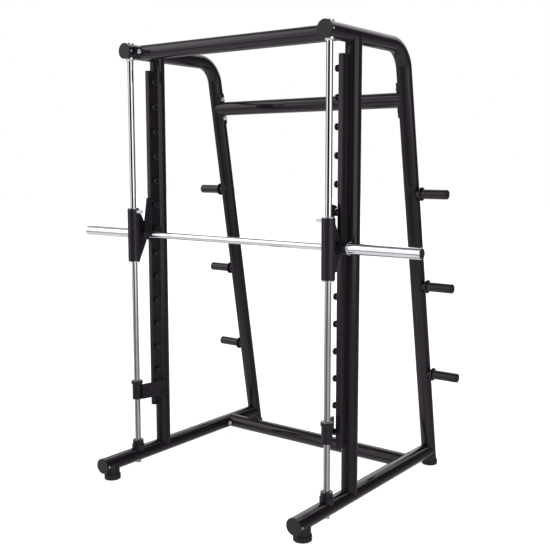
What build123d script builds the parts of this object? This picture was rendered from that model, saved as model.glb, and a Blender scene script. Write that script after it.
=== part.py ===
from build123d import *
import math
import os

# Smith machine. Millimetres, +X to the right seen from the front, +Y to the rear, +Z up.
# The origin is on the floor, in the middle of the machine's footprint.
# Every side part is drawn once for the right-hand frame and mirrored for the left-hand one.

# ---- frame tubes ----
TUBE_R = 38.0
TUBE_WALL = 3.0
HALF_SPAN = 610.0
RUNNER_Z = 82.0
BEAM_Z = 2194.5
LEG_LEAN = math.radians(9.9)
BEND_R = 130.0
WELD_GAP = 0.1

# ---- distances behind the plane of the guide rods ----
RUNNER_FRONT = -250.0
BEAM_FRONT = -38.0
FRONT_FOOT = -186.0
RACK_FRONT = 103.0
PEG_LINE = 128.0
UPRIGHT = 190.0
BAR_LINE = 60.0
TOP_CROSSBEAM = 73.0
LOWER_CROSSBEAM = 758.0
BEND_CORNER = 628.1

# ---- feet and tube ends ----
FOOT_R = 42.0
FOOT_HEIGHT = 26.0
FOOT_FLOOR = 6.0
CAP_FACE = 4.0
CAP_R = 39.6
CAP_PLUG = 18.0
SCREW_R = 4.8
SCREW_HEAD = 2.6
SCREW_SET_BACK = 10.0

# ---- crossbeams ----
UPPER_CROSSBEAM_Z = 1941.0
SADDLE_PLATE = 6.0
SADDLE_HALF_ANGLE = 29.0
SADDLE_LENGTH = 170.0
BOLT_OFFSET = 53.0
BOLT_R = 6.0
BOLT_HEAD_R = 11.5
BOLT_HEAD = 6.5
BOLT_REACH = 16.0

# ---- rack and pegs ----
RACK_INSET = 10.4
RACK_WIDTH = 25.4
RACK_WALL = 3.0
RACK_BOTTOM = 330.0
RACK_TOP = 2108.0
PEG_PITCH = 127.0
PEG_COUNT = 14
LOWEST_PEG_Z = 396.5
PEG_NECK_R = 10.0
PEG_HEAD_R = 16.0
PEG_NECK_END = 41.0
PEG_TIP = 50.0

# ---- guide rods ----
ROD_R = 15.0
ROD_BOTTOM = 34.0
ROD_TOP = 2236.8
RUNNING_GAP = 0.05
SOCKET_R = 33.0
SOCKET_STEP_Z = 137.0
SOCKET_TOP_R = 28.5
SOCKET_TOP = 160.0
ROD_COLLAR_R = 22.5
ROD_COLLAR_FOOT_R = 17.5
ROD_COLLAR_BOTTOM = 2147.0
ROD_COLLAR_STEP_Z = 2155.0
ROD_NUT_R = 19.5
ROD_NUT_TOP = 2235.5

# ---- storage horns ----
HORN_HEIGHTS = (1480.0, 1003.0, 524.5)
HORN_R = 24.0
HORN_WALL = 3.0
HORN_END = 197.0
HORN_COLLAR_R = 34.5
HORN_COLLAR_AT = 52.0
HORN_COLLAR_PLATE = 6.0
HORN_NECK_R = 22.0
HORN_CAP = 6.0

# ---- carriage: the two carriers that run on the guide rods ----
BAR_Z = 1262.0
CARRIER_R = 31.0
CARRIER_BOTTOM = 1124.5
CARRIER_TOP = 1396.5
BEARING_R = 22.5
BEARING_LENGTH = 64.0
BEARING_FLANGE_R = 27.5
BEARING_FLANGE = 5.5
GUSSET_PLATE = 12.0
HOUSING_R = 28.5
BUSHING_R = 20.0
HOUSING_INNER = 8.0
HOUSING_OUTER = -66.0
STOP_PIN_R = 8.5
STOP_PIN_Z = 1383.0
STOP_PIN_END = 64.0

# ---- bar ----
BAR_R = 16.0
BAR_HALF = 1035.0
SLEEVE_R = 25.0
SLEEVE_START = 74.0
COLLAR_R = 29.8
COLLAR_PLATE = 5.0
END_PLUG_R = 20.5
END_PLUG = 12.0

# ---- safety hooks on the bar, shown turned just clear of the pegs ----
HOOK_PLATE_FROM = 30.5
HOOK_PLATE_TO = 39.5
HUB_R = 28.0
HUB_FROM = 22.0
HUB_TO = 42.0
HOOK_TIP_ANGLE = 26.0
HOOK_OUTER_R = 190.0
HOOK_GAP = 0.4
HOOK_REST_TURN = 8.8

# ---- adjustable stops on the guide rods, shown swung just clear of the pegs ----
STOP_BUSH_R = 19.0
STOP_FLANGE_R = 26.0
STOP_FLANGE = 4.5
STOP_BOTTOM = 385.0
STOP_SLEEVE_R = 25.0
STOP_SLEEVE_TOP = 463.0
STOP_TOP = 483.7
BUMPER_FOOT_R = 25.5
BUMPER_TOP_R = 30.0
BUMPER_LIP = 0.5
LATCH_FROM = 25.5
LATCH_TO = 33.5
LATCH_FRONT = 14.0
LATCH_REACH = 160.0
LATCH_BOTTOM = 386.0
LATCH_TOP = 466.0
LATCH_REST_SWING = 13.0
NOTCH_FRONT = 112.5
NOTCH_REAR = 152.5
NOTCH_TOP = 413.2
AXIAL_GAP = 0.3


def leg_from_guide(z):
    """How far the rear leg's axis lies behind the guide rods at height z."""
    return BEND_CORNER + (BEAM_Z - z) * math.tan(LEG_LEAN)


REAR_REACH = leg_from_guide(FOOT_HEIGHT / 2) + FOOT_R
FRONT_REACH = RUNNER_FRONT - CAP_FACE
GUIDE_Y = -(REAR_REACH + FRONT_REACH) / 2
PEG_HEIGHTS = [LOWEST_PEG_Z + PEG_PITCH * n for n in range(PEG_COUNT)]
HOOK_PEG_Z = PEG_HEIGHTS[8]


def at(inward, behind, z):
    """A point on the right-hand side, measured inward from the side frame and back from the guide rods."""
    return Vector(HALF_SPAN - inward, GUIDE_Y + behind, z)


def rod(radius, start, end):
    """A round bar between two points."""
    run = end - start
    lower_end = (Align.CENTER, Align.CENTER, Align.MIN)
    return Plane(origin=start, z_dir=run) * Cylinder(radius, run.length, align=lower_end)


def pipe(outer, inner, start, end):
    """A round tube between two points."""
    return rod(outer, start, end) - rod(inner, start, end)


def soften(body, radius, pick):
    """Round the edges of a solid that pick chooses."""
    return fillet(pick(body.edges()), radius)


def turned(profile):
    """A ring round the right-hand guide rod. The profile gives radius and height."""
    radial = Plane(origin=at(0, 0, 0), x_dir=(1, 0, 0), z_dir=(0, -1, 0))
    return revolve(radial * profile, Axis(at(0, 0, 0), (0, 0, 1)))


def side_plate(profile, near, far):
    """A plate lying in the Y-Z plane, between two distances inward of the side frame."""
    face = Plane.YZ.offset(HALF_SPAN - far) * profile
    return extrude(face, far - near)


# ---- solids that other parts are cut to ----
def leg_bar(radius):
    return rod(radius, at(0, leg_from_guide(-60), -60), at(0, leg_from_guide(1990), 1990))


def runner_bar(radius):
    return rod(radius, at(0, RUNNER_FRONT, RUNNER_Z), at(0, leg_from_guide(RUNNER_Z), RUNNER_Z))


def beam_bar(radius):
    return rod(radius, at(0, BEAM_FRONT, BEAM_Z), at(0, BEND_CORNER - BEND_R, BEAM_Z))


def guide_bar(radius):
    return rod(radius, at(0, 0, 0), at(0, 0, ROD_TOP + 20))


def upright_bar(radius):
    return rod(radius, at(0, UPRIGHT, RUNNER_Z), at(0, UPRIGHT, BEAM_Z))


# ---- crossbeam joints: centre on the side tube and the tube's own direction ----
LEG_DIRECTION = Vector(0, -math.sin(LEG_LEAN), math.cos(LEG_LEAN))
CROSSBEAMS = {
    "top_crossbeam": (at(0, TOP_CROSSBEAM, BEAM_Z), Vector(0, 1, 0)),
    "upper_rear_crossbeam": (at(0, leg_from_guide(UPPER_CROSSBEAM_Z), UPPER_CROSSBEAM_Z), LEG_DIRECTION),
    "lower_rear_crossbeam": (at(0, LOWER_CROSSBEAM, RUNNER_Z), Vector(0, 1, 0)),
}


def bolt_places(centre, direction):
    return [centre + direction * BOLT_OFFSET, centre - direction * BOLT_OFFSET]


def bolt_head_seat(place):
    """The face that a bolt head bears on, a little below the saddle's crest."""
    return place - Vector(TUBE_R + SADDLE_PLATE - 1, 0, 0)


def flange_bolt(place):
    """A button-head bolt with a hexagon socket, pointing outward into the side tube."""
    seat = bolt_head_seat(place)
    head = rod(BOLT_HEAD_R, seat - Vector(BOLT_HEAD, 0, 0), seat)
    head = soften(head, 3.0, lambda edges: edges.sort_by(Axis.X)[0])
    shank = rod(BOLT_R, seat, seat + Vector(BOLT_REACH, 0, 0))
    socket = Plane(origin=seat - Vector(BOLT_HEAD, 0, 0), z_dir=(1, 0, 0)) * RegularPolygon(4.0, 6)
    return head + shank - extrude(socket, 4.0)


def bolt_hole(place):
    seat = bolt_head_seat(place)
    return rod(BOLT_R + 0.2, seat - Vector(5, 0, 0), seat + Vector(BOLT_REACH + 2, 0, 0))


def saddle(centre, direction):
    """The curved plate between a crossbeam's end and the side tube, with its two bolt holes."""
    half = direction * (SADDLE_LENGTH / 2)
    shell = pipe(TUBE_R + SADDLE_PLATE, TUBE_R, centre - half, centre + half)
    reach = TUBE_R + SADDLE_PLATE + 10
    spread = reach * math.tan(math.radians(SADDLE_HALF_ANGLE))
    wedge_plane = Plane(origin=centre - half, x_dir=(-1, 0, 0), z_dir=direction)
    wedge = extrude(wedge_plane * make_face(Polyline((0, 0), (reach, -spread), (reach, spread), close=True)),
                    SADDLE_LENGTH)
    plate = shell & wedge
    for place in bolt_places(centre, direction):
        seat = bolt_head_seat(place)
        plate = plate - bolt_hole(place) - rod(BOLT_HEAD_R + 0.2, seat - Vector(10, 0, 0), seat)
    return plate


def crossbeam(centre, direction):
    """A tube across the machine, its ends cut to the side tubes and the saddles."""
    across = Vector(2 * HALF_SPAN, 0, 0)
    tube = pipe(TUBE_R, TUBE_R - TUBE_WALL, centre - across, centre)
    half = direction * SADDLE_LENGTH
    side_tube = rod(TUBE_R, centre - half, centre + half)
    end = side_tube + saddle(centre, direction)
    return tube - end - mirror(end, about=Plane.YZ)


# ---- right-hand frame ----
def bent_tube():
    """The top beam and the sloping rear leg, one tube with a single bend, cut level at the foot."""
    below = -60
    path = FilletPolyline(
        at(0, BEAM_FRONT, BEAM_Z),
        at(0, BEND_CORNER, BEAM_Z),
        at(0, leg_from_guide(below), below),
        radius=BEND_R,
    )
    start = Plane(origin=at(0, BEAM_FRONT, BEAM_Z), z_dir=(0, 1, 0))
    tube = sweep(start * Circle(TUBE_R), path=path) - sweep(start * Circle(TUBE_R - TUBE_WALL), path=path)
    floor_cut = Pos(HALF_SPAN, GUIDE_Y + leg_from_guide(0), FOOT_FLOOR) * Box(
        200, 200, 200, align=(Align.CENTER, Align.CENTER, Align.MAX)
    )
    tube = tube - floor_cut - guide_bar(ROD_R + 0.2)
    for name in ("top_crossbeam", "upper_rear_crossbeam"):
        for place in bolt_places(*CROSSBEAMS[name]):
            tube = tube - bolt_hole(place)
    return tube


def base_runner():
    """The floor tube, its rear end cut to the leg."""
    tube = runner_bar(TUBE_R) - runner_bar(TUBE_R - TUBE_WALL) - leg_bar(TUBE_R) - guide_bar(ROD_R + 0.2)
    for place in bolt_places(*CROSSBEAMS["lower_rear_crossbeam"]):
        tube = tube - bolt_hole(place)
    return tube


def upright():
    """The post between runner and top beam, coped to both with a weld gap."""
    tube = upright_bar(TUBE_R) - upright_bar(TUBE_R - TUBE_WALL)
    return tube - runner_bar(TUBE_R + WELD_GAP) - beam_bar(TUBE_R + WELD_GAP)


def rack():
    """The channel in front of the upright that carries the pegs."""
    depth = UPRIGHT - RACK_FRONT
    height = RACK_TOP - RACK_BOTTOM
    corner = (Align.CENTER, Align.MIN, Align.MIN)
    place = Pos(at(RACK_INSET, RACK_FRONT, RACK_BOTTOM))
    outer = place * Box(RACK_WIDTH, depth, height, align=corner)
    outer = soften(outer, 3.0, lambda edges: edges.filter_by(Axis.Z).sort_by(Axis.Y)[:2])
    hollow = place * Pos(0, RACK_WALL, 0) * Box(RACK_WIDTH - 2 * RACK_WALL, depth, height, align=corner)
    return outer - hollow - upright_bar(TUBE_R)


def rack_peg(z):
    """A short pin with a flared, rounded head, pointing inward from the rack."""
    face = RACK_INSET + RACK_WIDTH / 2
    neck = rod(PEG_NECK_R, at(face, PEG_LINE, z), at(PEG_NECK_END, PEG_LINE, z))
    head = rod(PEG_HEAD_R, at(PEG_NECK_END, PEG_LINE, z), at(PEG_TIP, PEG_LINE, z))
    head = soften(head, 4.5, lambda edges: edges.sort_by(Axis.X)[0])
    return neck + head


def guide_rod():
    body = rod(ROD_R, at(0, 0, ROD_BOTTOM), at(0, 0, ROD_TOP))
    return chamfer(body.edges().sort_by(Axis.Z)[0], 1.5)


def rod_socket():
    """The stepped collar that holds the rod's foot, cut to the runner."""
    lower = rod(SOCKET_R, at(0, 0, RUNNER_Z), at(0, 0, SOCKET_STEP_Z))
    upper = rod(SOCKET_TOP_R, at(0, 0, SOCKET_STEP_Z), at(0, 0, SOCKET_TOP))
    lower = soften(lower, 2.0, lambda edges: edges.sort_by(Axis.Z)[-1])
    upper = soften(upper, 1.5, lambda edges: edges.sort_by(Axis.Z)[-1])
    return lower + upper - guide_bar(ROD_R) - runner_bar(TUBE_R)


def rod_collar():
    """The bright ring under the top beam, tapered towards the rod."""
    profile = make_face(
        Polyline(
            (ROD_R - 1, ROD_COLLAR_BOTTOM),
            (ROD_COLLAR_FOOT_R, ROD_COLLAR_BOTTOM),
            (ROD_COLLAR_R, ROD_COLLAR_STEP_Z),
            (ROD_COLLAR_R, BEAM_Z),
            (ROD_R - 1, BEAM_Z),
            close=True,
        )
    )
    return turned(profile) - guide_bar(ROD_R) - beam_bar(TUBE_R)


def rod_nut():
    """The low round nut on top of the beam."""
    nut = rod(ROD_NUT_R, at(0, 0, BEAM_Z), at(0, 0, ROD_NUT_TOP))
    nut = soften(nut, 1.5, lambda edges: edges.sort_by(Axis.Z)[-1])
    return nut - guide_bar(ROD_R) - beam_bar(TUBE_R)


def tube_cap(behind, z):
    """A plastic plug with a flat face a little wider than the tube, closing a front tube end."""
    face = rod(CAP_R, at(0, behind - CAP_FACE, z), at(0, behind, z))
    face = soften(face, 1.2, lambda edges: edges.sort_by(Axis.Y)[0])
    plug_r = TUBE_R - TUBE_WALL
    plug = pipe(plug_r, plug_r - 3, at(0, behind, z), at(0, behind + CAP_PLUG, z))
    return face + plug


def cap_screw(behind, z, side):
    """A small hexagon-headed screw on the side of a tube end. side is 1 outward or -1 inward."""
    out = Vector(side, 0, 0)
    centre = at(0, behind + SCREW_SET_BACK, z)
    outline = Plane(origin=centre + out * (TUBE_R - 1), x_dir=(0, 1, 0), z_dir=out) * RegularPolygon(SCREW_R, 6)
    head = extrude(outline, SCREW_HEAD + 1)
    head = chamfer(head.faces().sort_by(Axis(centre, out))[-1].edges(), 0.6)
    return head - rod(TUBE_R, at(0, behind, z), at(0, behind + 2 * SCREW_SET_BACK, z))


def foot_post():
    """The short tube that stands the runner's front end on its foot."""
    low = at(0, FRONT_FOOT, FOOT_FLOOR)
    high = at(0, FRONT_FOOT, RUNNER_Z)
    return pipe(TUBE_R, TUBE_R - TUBE_WALL, low, high) - runner_bar(TUBE_R)


def rubber_cup(behind):
    """The outer shape of a round rubber foot."""
    cup = rod(FOOT_R, at(0, behind, 0), at(0, behind, FOOT_HEIGHT))
    cup = soften(cup, 2.5, lambda edges: edges.sort_by(Axis.Z)[0])
    return soften(cup, 0.8, lambda edges: edges.sort_by(Axis.Z)[-1])


def front_foot():
    return rubber_cup(FRONT_FOOT) - rod(TUBE_R, at(0, FRONT_FOOT, FOOT_FLOOR), at(0, FRONT_FOOT, RUNNER_Z))


def rear_foot():
    above_floor = Pos(HALF_SPAN, GUIDE_Y + leg_from_guide(0), FOOT_FLOOR) * Box(
        200, 200, 200, align=(Align.CENTER, Align.CENTER, Align.MIN)
    )
    return rubber_cup(leg_from_guide(FOOT_HEIGHT / 2)) - (leg_bar(TUBE_R) & above_floor)


def horn_point(outward, z):
    return at(-outward, leg_from_guide(z), z)


def horn_tube(z):
    """A plate-storage tube that stands out from its collar."""
    near = horn_point(HORN_COLLAR_AT + HORN_COLLAR_PLATE, z)
    return pipe(HORN_R, HORN_R - HORN_WALL, near, horn_point(HORN_END - HORN_CAP, z))


def horn_collar(z):
    """The disc that keeps stored plates off the frame, on a short neck coped to the rear leg."""
    near = horn_point(HORN_COLLAR_AT, z)
    disc = rod(HORN_COLLAR_R, near, horn_point(HORN_COLLAR_AT + HORN_COLLAR_PLATE, z))
    disc = soften(disc, 1.5, lambda edges: edges.sort_by(Axis.X)[-1])
    neck = pipe(HORN_NECK_R, HORN_NECK_R - HORN_WALL, horn_point(0, z), near)
    return disc + (neck - leg_bar(TUBE_R))


def horn_cap(z):
    """The rounded plug in a storage tube's end."""
    start = horn_point(HORN_END - HORN_CAP, z)
    dome = rod(HORN_R, start, horn_point(HORN_END, z))
    dome = soften(dome, HORN_CAP - 1, lambda edges: edges.sort_by(Axis.X)[-1])
    plug = rod(HORN_R - HORN_WALL, horn_point(HORN_END - CAP_PLUG - HORN_CAP, z), start)
    return dome + plug


# ---- carriage ----
def carrier_tube():
    """The outer tube of a carrier, which holds a linear bearing at each end."""
    tube = rod(CARRIER_R, at(0, 0, CARRIER_BOTTOM), at(0, 0, CARRIER_TOP))
    tube = soften(tube, 2.0, lambda edges: [edges.sort_by(Axis.Z)[0], edges.sort_by(Axis.Z)[-1]])
    return tube - rod(BEARING_R, at(0, 0, CARRIER_BOTTOM), at(0, 0, CARRIER_TOP))


def linear_bearing(end, direction):
    """A flanged ball bushing. Its flange lies on a carrier's end, which faces along direction."""
    seat = at(0, 0, end)
    face = seat + direction * BEARING_FLANGE
    flange = rod(BEARING_FLANGE_R, seat, face)
    flange = soften(flange, 1.2, lambda edges: edges.sort_by(Axis(seat, direction))[-1])
    sleeve = rod(BEARING_R, seat - direction * BEARING_LENGTH, seat)
    return flange + sleeve - guide_bar(ROD_R + RUNNING_GAP)


def linear_bearings():
    return [linear_bearing(CARRIER_BOTTOM, Vector(0, 0, -1)), linear_bearing(CARRIER_TOP, Vector(0, 0, 1))]


def carrier_gusset():
    """The plate behind the carrier tube that comes to a blunt point round the bar."""
    root = 36.0
    point = 84.0
    outline = [
        (0, CARRIER_TOP - 8),
        (root, CARRIER_TOP - 8),
        (point, BAR_Z + 41),
        (point, BAR_Z - 40),
        (root, CARRIER_BOTTOM + 5),
        (0, CARRIER_BOTTOM + 5),
    ]
    profile = make_face(Polyline([(GUIDE_Y + behind, z) for behind, z in outline], close=True))
    plate = side_plate(profile, -GUSSET_PLATE / 2, GUSSET_PLATE / 2)
    plate = plate - rod(CARRIER_R, at(0, 0, CARRIER_BOTTOM), at(0, 0, CARRIER_TOP))
    return plate - bar_round(HOUSING_R, HOUSING_OUTER, HOUSING_INNER)


def bar_round(radius, near, far):
    """A round bar on the bar's own axis, between two distances inward of the side frame."""
    return rod(radius, at(far, BAR_LINE, BAR_Z), at(near, BAR_LINE, BAR_Z))


def bar_housing():
    """The tube that holds the bar's bush, long on the outer side so that it reaches the sleeve collar."""
    tube = bar_round(HOUSING_R, HOUSING_OUTER, HOUSING_INNER)
    tube = soften(tube, 1.5, lambda edges: [edges.sort_by(Axis.X)[0], edges.sort_by(Axis.X)[-1]])
    return tube - bar_round(BUSHING_R, HOUSING_OUTER, HOUSING_INNER)


def bar_bushing():
    """The plain bush that the bar turns in."""
    outer = bar_round(BUSHING_R, HOUSING_OUTER, HOUSING_INNER)
    return outer - bar_round(BAR_R + RUNNING_GAP, HOUSING_OUTER, HOUSING_INNER)


def stop_pin():
    """The bright pin that limits how far the hook swings forward."""
    pin = rod(STOP_PIN_R, at(STOP_PIN_END, 0, STOP_PIN_Z), at(0, 0, STOP_PIN_Z))
    pin = soften(pin, 2.0, lambda edges: edges.sort_by(Axis.X)[0])
    return pin - rod(CARRIER_R, at(0, 0, CARRIER_BOTTOM), at(0, 0, CARRIER_TOP))


# ---- bar ----
def bar_shaft():
    """The turning bar, from end plug to end plug."""
    end = BAR_HALF - END_PLUG
    return rod(BAR_R, Vector(-end, GUIDE_Y + BAR_LINE, BAR_Z), Vector(end, GUIDE_Y + BAR_LINE, BAR_Z))


def plate_sleeve():
    """The 50 mm sleeve for weight plates, recessed at its end for the plug."""
    end = BAR_HALF - HALF_SPAN
    sleeve = bar_round(SLEEVE_R, -end, -SLEEVE_START)
    sleeve = chamfer(sleeve.edges().sort_by(Axis.X)[-1], 1.5)
    return sleeve - bar_round(BAR_R, -end, -SLEEVE_START) - bar_round(END_PLUG_R, -end, -end + END_PLUG)


def sleeve_collar():
    """The thin ring that plates are pushed up against."""
    start = SLEEVE_START - COLLAR_PLATE
    ring = bar_round(COLLAR_R, -SLEEVE_START, -start)
    ring = soften(ring, 1.2, lambda edges: [edges.sort_by(Axis.X)[0], edges.sort_by(Axis.X)[-1]])
    return ring - bar_round(BAR_R, -SLEEVE_START, -start)


def end_plug():
    end = BAR_HALF - HALF_SPAN
    return bar_round(END_PLUG_R, -end, -end + END_PLUG)


def polar(radius, angle):
    """A point about the bar in the hook's plane. angle is in degrees from straight up towards the rear."""
    turn = math.radians(angle)
    return Vector(radius * math.sin(turn), radius * math.cos(turn))


def hook_profile():
    """The hook on its peg: an arm up from the hub and a jaw over the peg, its inner edge round the bar's axis."""
    peg = Vector(PEG_LINE - BAR_LINE, HOOK_PEG_Z - BAR_Z)
    peg_angle = math.degrees(math.atan2(peg.X, peg.Y))
    throat = PEG_NECK_R + HOOK_GAP
    jaw_r = peg.length + throat
    front = polar(1, peg_angle - 90)
    crown = polar(HOOK_OUTER_R, 10)
    shoulder = Vector(9, 112)
    tip_out = polar(HOOK_OUTER_R - 3, HOOK_TIP_ANGLE)
    tip_in = polar(jaw_r, HOOK_TIP_ANGLE)
    over_peg = polar(jaw_r, peg_angle)
    under_peg = polar(peg.length - throat, peg_angle)
    outline = [
        Line((-17, 8), (-8, 60)),
        Line((-8, 60), shoulder),
        ThreePointArc(shoulder, polar(168, 9), crown),
        ThreePointArc(crown, polar(HOOK_OUTER_R, 18), tip_out),
        Line(tip_out, tip_in),
        ThreePointArc(tip_in, polar(jaw_r, (peg_angle + HOOK_TIP_ANGLE) / 2), over_peg),
        ThreePointArc(over_peg, peg + front * throat, under_peg),
        Line(under_peg, (44, 112)),
        Line((44, 112), (19, -6)),
        Line((19, -6), (-17, 8)),
    ]
    return make_face(outline)


def safety_hook():
    """One hook with its hub, turned forward off the peg to where it rests."""
    profile = Pos(GUIDE_Y + BAR_LINE, BAR_Z, 0) * hook_profile()
    plate = side_plate(profile, HOOK_PLATE_FROM, HOOK_PLATE_TO)
    hub = bar_round(HUB_R, HUB_FROM, HUB_TO)
    hub = soften(hub, 2.0, lambda edges: [edges.sort_by(Axis.X)[0], edges.sort_by(Axis.X)[-1]])
    hook = hub + plate - bar_round(BAR_R, HUB_FROM - 1, HUB_TO + 1)
    return hook.rotate(Axis((0, GUIDE_Y + BAR_LINE, BAR_Z), (1, 0, 0)), HOOK_REST_TURN)


# ---- adjustable stop ----
def stop_bush_round(extra=0.0):
    """The bush without its bore: a liner with a flange on top, which the latch sleeve carries."""
    top = STOP_TOP - BUMPER_LIP
    liner = rod(STOP_BUSH_R, at(0, 0, STOP_BOTTOM + 1), at(0, 0, top))
    return liner + rod(STOP_FLANGE_R, at(0, 0, top - STOP_FLANGE), at(0, 0, top + extra))


def stop_bush():
    """The pale liner that slides on the guide rod."""
    return stop_bush_round() - guide_bar(ROD_R + RUNNING_GAP)


def stop_bumper():
    """The rubber ring that the carrier lands on, its edge standing a little above the bush's flange."""
    foot_z = STOP_SLEEVE_TOP + AXIAL_GAP
    profile = make_face(
        Polyline(
            (ROD_R + 1, foot_z),
            (BUMPER_FOOT_R, foot_z),
            (BUMPER_TOP_R, foot_z + 4.5),
            (BUMPER_TOP_R, STOP_TOP - 1.2),
            (BUMPER_TOP_R - 1.2, STOP_TOP),
            (ROD_R + 1, STOP_TOP),
            close=True,
        )
    )
    return turned(profile) - stop_bush_round(extra=2 * BUMPER_LIP)


def latch_profile():
    """The latch plate, with a notch that is open downward and passes over a peg's head."""
    back = GUIDE_Y + LATCH_REACH
    height = LATCH_TOP - LATCH_BOTTOM
    length = LATCH_REACH - LATCH_FRONT
    plate = Pos(back, LATCH_BOTTOM) * Rectangle(length, height, align=(Align.MAX, Align.MIN))
    plate = fillet(plate.vertices().sort_by(Axis.X)[-2:].sort_by(Axis.Y)[-1], 14)
    notch = Pos(GUIDE_Y + NOTCH_FRONT, NOTCH_TOP) * Rectangle(
        NOTCH_REAR - NOTCH_FRONT, height, align=(Align.MIN, Align.MAX)
    )
    notch = fillet(notch.vertices().sort_by(Axis.Y)[-2:], 5)
    return plate - notch


def stop_latch():
    """The latch sleeve and its welded plate, swung inward off the peg to where it rests."""
    sleeve = rod(STOP_SLEEVE_R, at(0, 0, STOP_BOTTOM), at(0, 0, STOP_SLEEVE_TOP))
    plate = side_plate(latch_profile(), LATCH_FROM, LATCH_TO)
    web_height = STOP_SLEEVE_TOP - LATCH_BOTTOM
    web = Pos(at(LATCH_TO, LATCH_FRONT, LATCH_BOTTOM)) * Box(LATCH_TO - 16, 12, web_height, align=Align.MIN)
    bore = rod(STOP_BUSH_R + RUNNING_GAP, at(0, 0, STOP_BOTTOM), at(0, 0, LATCH_TOP + 10))
    clear = rod(STOP_SLEEVE_R + 7, at(0, 0, STOP_SLEEVE_TOP), at(0, 0, LATCH_TOP + 1))
    latch = sleeve + web + plate - bore - clear
    return latch.rotate(Axis(at(0, 0, 0), (0, 0, 1)), LATCH_REST_SWING)


# ---- writing the nodes ----
def solids(parts):
    """All the solids of a part or a list of parts, as one compound."""
    parts = parts if isinstance(parts, list) else [parts]
    found = [solid for part in parts for solid in part.solids()]
    return found[0] if len(found) == 1 else Compound(children=found)


def mirrored(parts):
    parts = parts if isinstance(parts, list) else [parts]
    return [mirror(part, about=Plane.YZ) for part in parts]


def save(name, parts):
    export_step(solids(parts), os.path.join("parts", name + ".step"))


def save_pair(name, parts):
    """Write a part once for each side."""
    save("right_" + name, parts)
    save("left_" + name, mirrored(parts))


def save_both(name, parts):
    """Write small repeated parts of both sides as one group of solids."""
    save(name, parts + mirrored(parts))


def main():
    os.makedirs("parts", exist_ok=True)

    save_pair("bent_tube", bent_tube())
    save_pair("base_runner", base_runner())
    save_pair("upright", upright())
    save_pair("rack", rack())
    save_pair("rack_pegs", [rack_peg(z) for z in PEG_HEIGHTS])
    save_pair("guide_rod", guide_rod())
    save_pair("rod_socket", rod_socket())
    save_pair("rod_collar", rod_collar())
    save_pair("rod_nut", rod_nut())
    save_pair("storage_horns", [horn_tube(z) for z in HORN_HEIGHTS])
    save_pair("horn_collars", [horn_collar(z) for z in HORN_HEIGHTS])
    save_both("horn_end_caps", [horn_cap(z) for z in HORN_HEIGHTS])
    save_both("foot_posts", [foot_post()])
    save_both("front_feet", [front_foot()])
    save_both("rear_feet", [rear_foot()])
    save_both("beam_end_caps", [tube_cap(BEAM_FRONT, BEAM_Z)])
    save_both("runner_end_caps", [tube_cap(RUNNER_FRONT, RUNNER_Z)])
    tube_ends = [(BEAM_FRONT, BEAM_Z), (RUNNER_FRONT, RUNNER_Z)]
    save_both("cap_screws", [cap_screw(*end, side) for end in tube_ends for side in (1, -1)])

    for name, (centre, direction) in CROSSBEAMS.items():
        save(name, crossbeam(centre, direction))
    save_both("crossbeam_saddles", [saddle(*joint) for joint in CROSSBEAMS.values()])
    bolts = [flange_bolt(place) for joint in CROSSBEAMS.values() for place in bolt_places(*joint)]
    save_both("crossbeam_bolts", bolts)

    save_pair("carrier_tube", carrier_tube())
    save_pair("linear_bearings", linear_bearings())
    save_pair("carrier_gusset", carrier_gusset())
    save_pair("bar_housing", bar_housing())
    save_pair("bar_bushing", bar_bushing())
    save_pair("stop_pin", stop_pin())

    save("bar_shaft", bar_shaft())
    save_pair("plate_sleeve", plate_sleeve())
    save_pair("sleeve_collar", sleeve_collar())
    save_both("bar_end_plugs", [end_plug()])
    save_pair("safety_hook", safety_hook())

    save_pair("stop_bush", stop_bush())
    save_pair("stop_bumper", stop_bumper())
    save_pair("stop_latch", stop_latch())


main()
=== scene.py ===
import math

import bmesh
import bpy
from mathutils import Matrix, Vector


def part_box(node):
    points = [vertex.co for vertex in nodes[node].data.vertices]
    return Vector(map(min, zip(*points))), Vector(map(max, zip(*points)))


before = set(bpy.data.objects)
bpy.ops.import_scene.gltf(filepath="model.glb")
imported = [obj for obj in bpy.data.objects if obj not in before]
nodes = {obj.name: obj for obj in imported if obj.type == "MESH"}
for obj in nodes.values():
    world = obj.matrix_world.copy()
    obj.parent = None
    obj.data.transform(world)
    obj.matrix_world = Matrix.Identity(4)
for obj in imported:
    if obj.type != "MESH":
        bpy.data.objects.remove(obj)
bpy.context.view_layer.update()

# Metres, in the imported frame: +X to the right seen from the front, +Y to the rear, +Z up.
SIDES = ("left", "right")
WHITE = (1, 1, 1, 1)


def centre(node):
    """The middle of a CAD node's box."""
    low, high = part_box(node)
    return (low + high) / 2


# ---- camera: placed from the guide rods' plane ----
CAMERA_FROM_RODS = Vector((2.66276, -3.05946, 1.63290))
CAMERA_AZIMUTH = math.radians(36.778)
CAMERA_PITCH = math.radians(-7.040)
CAMERA_ROLL = math.radians(0.0475)
LENS_MM = 55.476
SENSOR_MM = 36.0
SHIFT = (-0.01865, -0.01304)


def make_camera():
    data = bpy.data.cameras.new("camera")
    data.sensor_width = SENSOR_MM
    data.lens = LENS_MM
    data.shift_x, data.shift_y = SHIFT
    camera = bpy.data.objects.new("camera", data)
    rods = (centre("left_guide_rod") + centre("right_guide_rod")) / 2
    place = CAMERA_FROM_RODS + Vector((rods.x, rods.y, 0))
    turn = (
        Matrix.Rotation(CAMERA_AZIMUTH, 4, "Z")
        @ Matrix.Rotation(math.pi / 2 + CAMERA_PITCH, 4, "X")
        @ Matrix.Rotation(CAMERA_ROLL, 4, "Z")
    )
    camera.matrix_world = Matrix.Translation(place) @ turn
    bpy.context.scene.collection.objects.link(camera)
    bpy.context.scene.camera = camera


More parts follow.
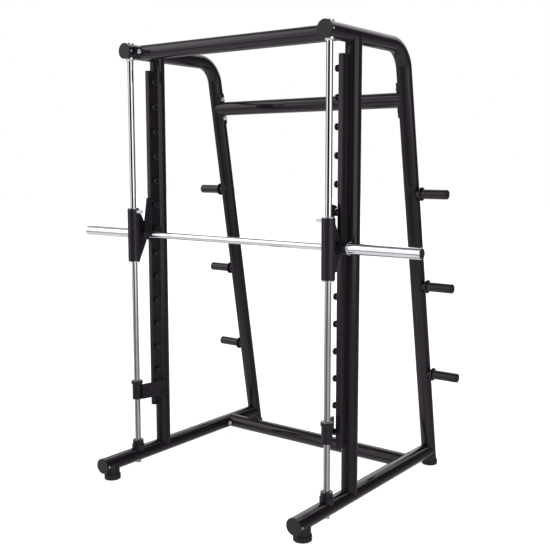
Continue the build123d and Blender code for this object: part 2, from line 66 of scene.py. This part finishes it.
# ---- node helpers ----
# The sockets that a Mix node uses when it mixes colours. Others in it have the same names.
MIX_FACTOR = 0
MIX_FIRST = 6
MIX_SECOND = 7
MIX_RESULT = 2


def add(tree, kind, **settings):
    """A new shader node with its settings."""
    made = tree.nodes.new(kind)
    for key, value in settings.items():
        setattr(made, key, value)
    return made


def plug(tree, source, target):
    tree.links.new(source, target)


def math_node(tree, operation, *values):
    """One step of arithmetic on up to three sockets or numbers."""
    made = add(tree, "ShaderNodeMath", operation=operation)
    for socket, value in zip(made.inputs, values):
        if isinstance(value, (int, float)):
            socket.default_value = value
        else:
            plug(tree, value, socket)
    return made.outputs[0]


def spread(tree, source, old, new=(0.0, 1.0), smooth=False):
    """Map the range old to the range new, held at both ends."""
    made = add(tree, "ShaderNodeMapRange", interpolation_type="SMOOTHSTEP" if smooth else "LINEAR")
    for name, value in zip(("From Min", "From Max", "To Min", "To Max"), (*old, *new)):
        made.inputs[name].default_value = value
    plug(tree, source, made.inputs["Value"])
    return made.outputs["Result"]


def noise(tree, scale, detail=2.0, roughness=0.5, stretch=(1, 1, 1), distortion=0.0):
    """Noise over the object's own metres. stretch multiplies the grain's length along X, Y and Z."""
    coords = add(tree, "ShaderNodeTexCoord")
    mapping = add(tree, "ShaderNodeMapping")
    mapping.inputs["Scale"].default_value = tuple(1 / value for value in stretch)
    made = add(tree, "ShaderNodeTexNoise")
    settings = {"Scale": scale, "Detail": detail, "Roughness": roughness, "Distortion": distortion}
    for name, value in settings.items():
        made.inputs[name].default_value = value
    plug(tree, coords.outputs["Object"], mapping.inputs["Vector"])
    plug(tree, mapping.outputs["Vector"], made.inputs["Vector"])
    return made.outputs["Fac"]


def blend_colours(tree, factor, first, second):
    """first where factor is 0, second where it is 1."""
    made = add(tree, "ShaderNodeMix", data_type="RGBA")
    made.inputs[MIX_FIRST].default_value = (*first, 1)
    made.inputs[MIX_SECOND].default_value = (*second, 1)
    plug(tree, factor, made.inputs[MIX_FACTOR])
    return made.outputs[MIX_RESULT]


def blend_values(tree, factor, first, second):
    """first where factor is 0, second where it is 1. second may be a number."""
    kept = math_node(tree, "MULTIPLY", first, math_node(tree, "SUBTRACT", 1.0, factor))
    return math_node(tree, "ADD", kept, math_node(tree, "MULTIPLY", factor, second))


def bumps(tree, heights):
    """Bump nodes one after another. heights lists (height socket, depth in metres)."""
    normal = None
    for height, depth in heights:
        made = add(tree, "ShaderNodeBump")
        made.inputs["Distance"].default_value = depth
        plug(tree, height, made.inputs["Height"])
        if normal:
            plug(tree, normal, made.inputs["Normal"])
        normal = made.outputs["Normal"]
    return normal


def new_material(name, **values):
    """A Principled material. values sets sockets that are the same all over."""
    material = bpy.data.materials.new(name)
    material.use_nodes = True
    tree = material.node_tree
    shader = tree.nodes["Principled BSDF"]
    for key, value in values.items():
        shader.inputs[key.replace("_", " ")].default_value = value
    return material, tree, shader


# ---- kinds of material ----
# Sizes of grain, as noise scales over metres.
MOTTLE = 9
SMEARS = 14
DUST = 30
RUBBED = 55
RINGS = 60
SCUFFS = 70
ORANGE_PEEL = 240
FINE_SCUFFS = 900
FINE_PEEL = 1500

# The stretch of a value's range that goes from none to full.
TILTED_TO_FLAT = (0.3, 1.0)
DUST_RANGE = (0.45, 0.7)
SMEAR_RANGE = (0.35, 0.7)
SCUFF_RANGE = (0.4, 0.75)
NOISE_RANGE = (0.3, 0.7)
DUSTED_RANGE = (0.3, 0.9)

DUST_PALENESS = 0.35
DUST_DULLNESS = 0.5
FINE_PEEL_SHARE = 0.1
FINE_SCUFF_SHARE = 0.5
RING_SHARE = 0.5
SMEAR_SHARE = 0.5
SMEAR_DARKENING = 0.9
RING_DEPTH = 0.0000001
RING_LENGTH = 0.02
ACROSS = {"X": (RING_LENGTH, 1, 1), "Y": (1, RING_LENGTH, 1), "Z": (1, 1, RING_LENGTH)}

COAT_IOR = 1.43
PLASTIC_IOR = 1.46
WARM_BLACK = (1.0, 0.945, 1.0, 1.0)


def up_facing(tree):
    """How much a surface faces up, from 0 to 1."""
    geometry = add(tree, "ShaderNodeNewGeometry")
    parts = add(tree, "ShaderNodeSeparateXYZ")
    plug(tree, geometry.outputs["Normal"], parts.inputs["Vector"])
    return spread(tree, parts.outputs["Z"], TILTED_TO_FLAT)


def paint(name, shades, roughness, peel):
    """Powder-coat black: faint mottling, dust on what faces up, and an orange-peel surface."""
    material, tree, shader = new_material(name, IOR=COAT_IOR, Specular_Tint=WARM_BLACK)
    mottle = noise(tree, MOTTLE, detail=5, roughness=0.6)
    grain = noise(tree, ORANGE_PEEL, detail=3)
    patches = spread(tree, noise(tree, DUST, detail=6), DUST_RANGE)
    dust = math_node(tree, "MULTIPLY", up_facing(tree), patches)
    tint = math_node(tree, "MULTIPLY_ADD", dust, DUST_PALENESS, mottle)
    plug(tree, blend_colours(tree, spread(tree, tint, DUSTED_RANGE), *shades), shader.inputs["Base Color"])
    rubbed = noise(tree, RUBBED, detail=6, roughness=0.65)
    wear = math_node(tree, "MULTIPLY_ADD", dust, DUST_DULLNESS, rubbed)
    plug(tree, spread(tree, wear, DUSTED_RANGE, roughness), shader.inputs["Roughness"])
    fine = noise(tree, FINE_PEEL, detail=1)
    plug(tree, bumps(tree, [(grain, peel), (fine, peel * FINE_PEEL_SHARE)]), shader.inputs["Normal"])
    return material


def chrome(name, colour, roughness, along, metallic=1.0):
    """Bright metal with fine lines round the piece and faint handling marks. along is its axis."""
    material, tree, shader = new_material(name, Metallic=metallic)
    rings = noise(tree, RINGS, detail=4, roughness=0.7, stretch=ACROSS[along])
    smears = noise(tree, SMEARS, detail=6, roughness=0.6, distortion=0.4)
    darker = tuple(value * SMEAR_DARKENING for value in colour)
    shade = blend_colours(tree, spread(tree, smears, SMEAR_RANGE), colour, darker)
    plug(tree, shade, shader.inputs["Base Color"])
    smeared = math_node(tree, "MULTIPLY", smears, SMEAR_SHARE)
    marks = math_node(tree, "MULTIPLY_ADD", rings, RING_SHARE, smeared)
    plug(tree, spread(tree, marks, NOISE_RANGE, roughness), shader.inputs["Roughness"])
    plug(tree, bumps(tree, [(rings, RING_DEPTH)]), shader.inputs["Normal"])
    return material


def moulded(name, shades, roughness, grain_scale, depth):
    """Moulded rubber or plastic: a fine leathery grain and scuffs."""
    material, tree, shader = new_material(name, IOR=PLASTIC_IOR, Specular_Tint=WARM_BLACK)
    grain = add(tree, "ShaderNodeTexVoronoi")
    grain.inputs["Scale"].default_value = grain_scale
    coords = add(tree, "ShaderNodeTexCoord")
    plug(tree, coords.outputs["Object"], grain.inputs["Vector"])
    scuffs = noise(tree, SCUFFS, detail=6, roughness=0.7)
    plug(tree, blend_colours(tree, spread(tree, scuffs, SCUFF_RANGE), *shades), shader.inputs["Base Color"])
    plug(tree, spread(tree, scuffs, NOISE_RANGE, roughness), shader.inputs["Roughness"])
    fine = noise(tree, FINE_SCUFFS)
    heights = [(grain.outputs["Distance"], depth), (fine, depth * FINE_SCUFF_SHARE)]
    plug(tree, bumps(tree, heights), shader.inputs["Normal"])
    return material


# ---- finishes ----
# Each mottled finish has a dark and a light shade.
FRAME_BLACK = ((0.0145, 0.0118, 0.0155), (0.0190, 0.0158, 0.0205))
STEEL_BLACK = ((0.0160, 0.0132, 0.0175), (0.0210, 0.0178, 0.0230))
CAP_BLACK = ((0.0160, 0.0145, 0.0165), (0.0215, 0.0195, 0.0220))
HORN_BLACK = ((0.012, 0.0100, 0.0125), (0.018, 0.0155, 0.019))
NYLON_GREY = ((0.28, 0.27, 0.28), (0.36, 0.35, 0.36))
RUBBER_BLACK = ((0.011, 0.0090, 0.0115), (0.019, 0.0160, 0.020))
ROD_CHROME = (0.94, 0.94, 0.955)
BAR_CHROME = (0.93, 0.93, 0.95)
ZINC = (0.84, 0.84, 0.86)
STEEL = (0.82, 0.82, 0.84)
# Painted shade: the bronze is made this dark so that the bushing's end, in the gap beside the hook's hub, shows
# black like the shade there.
SHADE_DARKENED_BRONZE = (0.13, 0.095, 0.06)


def make_materials():
    """Every finish, by name. peel and depth are in metres, and grain_scale is in cells to a metre."""
    return {
        "frame_paint": paint("frame_paint", FRAME_BLACK, (0.05, 0.11), peel=0.000002),
        "black_steel": paint("black_steel", STEEL_BLACK, (0.18, 0.3), peel=0.000008),
        "rod_chrome": chrome("rod_chrome", ROD_CHROME, (0.01, 0.035), "Z"),
        "bar_chrome": chrome("bar_chrome", BAR_CHROME, (0.06, 0.13), "X"),
        "bright_zinc": chrome("bright_zinc", ZINC, (0.38, 0.5), "Y", metallic=0.4),
        "bearing_steel": chrome("bearing_steel", STEEL, (0.25, 0.4), "Z"),
        "bronze": chrome("bronze", SHADE_DARKENED_BRONZE, (0.3, 0.45), "X"),
        "cap_plastic": moulded("cap_plastic", CAP_BLACK, (0.42, 0.6), grain_scale=1400, depth=0.00004),
        "horn_plastic": moulded("horn_plastic", HORN_BLACK, (0.3, 0.5), grain_scale=1400, depth=0.00003),
        "pale_nylon": moulded("pale_nylon", NYLON_GREY, (0.35, 0.5), grain_scale=1200, depth=0.00002),
        "foot_rubber": moulded("foot_rubber", RUBBER_BLACK, (0.5, 0.75), grain_scale=900, depth=0.00008),
    }


# The CAD nodes that have each finish, without left_ or right_.
FINISHES = {
    "frame_paint": (
        "bent_tube", "base_runner", "upright", "rack", "rack_pegs", "storage_horns", "horn_collars",
        "foot_posts", "top_crossbeam", "upper_rear_crossbeam", "lower_rear_crossbeam", "crossbeam_saddles",
    ),
    "black_steel": ("rod_socket", "carrier_tube", "carrier_gusset", "bar_housing", "safety_hook", "stop_latch"),
    "rod_chrome": ("guide_rod", "rod_collar", "rod_nut"),
    "bar_chrome": ("bar_shaft", "plate_sleeve", "sleeve_collar"),
    "bright_zinc": ("crossbeam_bolts", "cap_screws", "stop_pin"),
    "bearing_steel": ("linear_bearings",),
    "pale_nylon": ("stop_bush",),
    "bronze": ("bar_bushing",),
    "cap_plastic": ("beam_end_caps", "runner_end_caps", "bar_end_plugs"),
    "horn_plastic": ("horn_end_caps",),
    "foot_rubber": ("front_feet", "rear_feet", "stop_bumper"),
}


def finish_cad_nodes(materials):
    """Give every CAD node its finish."""
    by_node = {name: finish for finish, names in FINISHES.items() for name in names}
    for name, piece in nodes.items():
        plain = name
        for side in SIDES:
            plain = plain.removeprefix(side + "_")
        for slot in piece.material_slots:
            slot.material = materials[by_node[plain]]


# ---- studio ----
FLOOR_HALF = 30.0
FLOOR_WHITE = (0.93, 0.93, 0.935)
FLOOR_SHADING = 0.99
FLOOR_BLOTCHES = 3
FLOOR_GLOW = 0.8


def make_floor():
    mesh = bpy.data.meshes.new("floor")
    bm = bmesh.new()
    corners = [(-1, -1), (1, -1), (1, 1), (-1, 1)]
    bm.faces.new([bm.verts.new((x * FLOOR_HALF, y * FLOOR_HALF, 0)) for x, y in corners])
    bm.to_mesh(mesh)
    bm.free()
    floor = bpy.data.objects.new("floor", mesh)
    material, tree, shader = new_material(
        "floor", Roughness=0.9, Emission_Color=WHITE, Emission_Strength=FLOOR_GLOW
    )
    darker = tuple(value * FLOOR_SHADING for value in FLOOR_WHITE)
    shade = blend_colours(tree, noise(tree, FLOOR_BLOTCHES, detail=3), FLOOR_WHITE, darker)
    plug(tree, shade, shader.inputs["Base Color"])
    mesh.materials.append(material)
    floor.visible_glossy = False
    bpy.context.scene.collection.objects.link(floor)


# Brightness round the studio, in degrees anticlockwise from -Y seen from above, for four bands of height.
HIGH_BAND = [
    (-180, 1.80), (-136, 1.80), (-131, 0.35), (-80, 0.35), (-72, 1.90), (-44, 1.90), (-38, 1.10), (-22, 1.10),
    (-14, 0.35), (110, 0.35), (122, 0.03), (154, 0.03), (162, 1.20), (180, 1.80),
]
LEVEL_BAND = [
    (-180, 0.20), (-136, 0.20), (-131, 0.24), (-90, 0.24), (-54, 0.40), (-49, 1.15), (-26, 1.15), (-19, 0.10),
    (-12, 0.01), (47, 0.01), (56, 1.30), (104, 1.25), (114, 0.05), (158, 0.04), (168, 0.18), (180, 0.20),
]
LOWER_BAND = [
    (-180, 0.30), (-110, 0.38), (-60, 0.38), (-40, 0.34), (-20, 0.12), (20, 0.10), (34, 0.34), (50, 0.42),
    (85, 0.42), (100, 0.20), (150, 0.20), (180, 0.30),
]
FLOOR_BAND = [
    (-180, 0.80), (-140, 0.80), (-130, 0.70), (-30, 0.75), (130, 0.45), (140, 0.30), (165, 0.35), (180, 0.80),
]
CEILING = 0.28
BRIGHTEST = 2.5

# Where each band starts to fade in and is full, in degrees above the horizon.
LOWER_EDGE = (-27, -22)
LEVEL_EDGE = (-13, -3)
HIGH_EDGE = (8, 13)
CEILING_EDGE = (46, 54)

LIGHT_COLOUR = (1, 0.965, 1, 1)
BACKDROP_STRENGTH = 1.0


def band(tree, turn, stops):
    """Brightness by direction round the studio."""
    ramp = add(tree, "ShaderNodeValToRGB")
    elements = ramp.color_ramp.elements
    while len(elements) < len(stops):
        elements.new(0.5)
    for element, (degrees, value) in zip(elements, stops):
        element.position = (degrees + 180) / 360
        element.color = (value / BRIGHTEST,) * 3 + (1,)
    plug(tree, turn, ramp.inputs["Fac"])
    return math_node(tree, "MULTIPLY", ramp.outputs["Color"], BRIGHTEST)


def above(tree, z, edge):
    """0 below an edge, 1 above it, for a direction's height z."""
    heights = [math.sin(math.radians(angle)) for angle in edge]
    return spread(tree, z, heights, smooth=True)


def studio_brightness(tree):
    """The studio's brightness in every direction."""
    coords = add(tree, "ShaderNodeTexCoord")
    parts = add(tree, "ShaderNodeSeparateXYZ")
    plug(tree, coords.outputs["Generated"], parts.inputs["Vector"])
    x, y, z = parts.outputs
    angle = math_node(tree, "ARCTAN2", x, math_node(tree, "MULTIPLY", y, -1.0))
    turn = spread(tree, angle, (-math.pi, math.pi))
    brightness = band(tree, turn, FLOOR_BAND)
    for edge, stops in ((LOWER_EDGE, LOWER_BAND), (LEVEL_EDGE, LEVEL_BAND), (HIGH_EDGE, HIGH_BAND)):
        brightness = blend_values(tree, above(tree, z, edge), brightness, band(tree, turn, stops))
    return blend_values(tree, above(tree, z, CEILING_EDGE), brightness, CEILING)


def make_world():
    """The studio lights the machine, and the camera sees a white backdrop in its place."""
    world = bpy.data.worlds.new("studio")
    bpy.context.scene.world = world
    world.use_nodes = True
    tree = world.node_tree
    tree.nodes.clear()
    light = add(tree, "ShaderNodeBackground")
    light.inputs["Color"].default_value = LIGHT_COLOUR
    plug(tree, studio_brightness(tree), light.inputs["Strength"])
    backdrop = add(tree, "ShaderNodeBackground")
    backdrop.inputs["Color"].default_value = WHITE
    backdrop.inputs["Strength"].default_value = BACKDROP_STRENGTH
    path = add(tree, "ShaderNodeLightPath")
    choose = add(tree, "ShaderNodeMixShader")
    factor, unseen, seen = choose.inputs
    plug(tree, path.outputs["Is Camera Ray"], factor)
    plug(tree, light.outputs["Background"], unseen)
    plug(tree, backdrop.outputs["Background"], seen)
    out = add(tree, "ShaderNodeOutputWorld")
    plug(tree, choose.outputs["Shader"], out.inputs["Surface"])


bpy.context.scene.view_settings.view_transform = "Standard"
make_camera()
make_world()
make_floor()
finish_cad_nodes(make_materials())
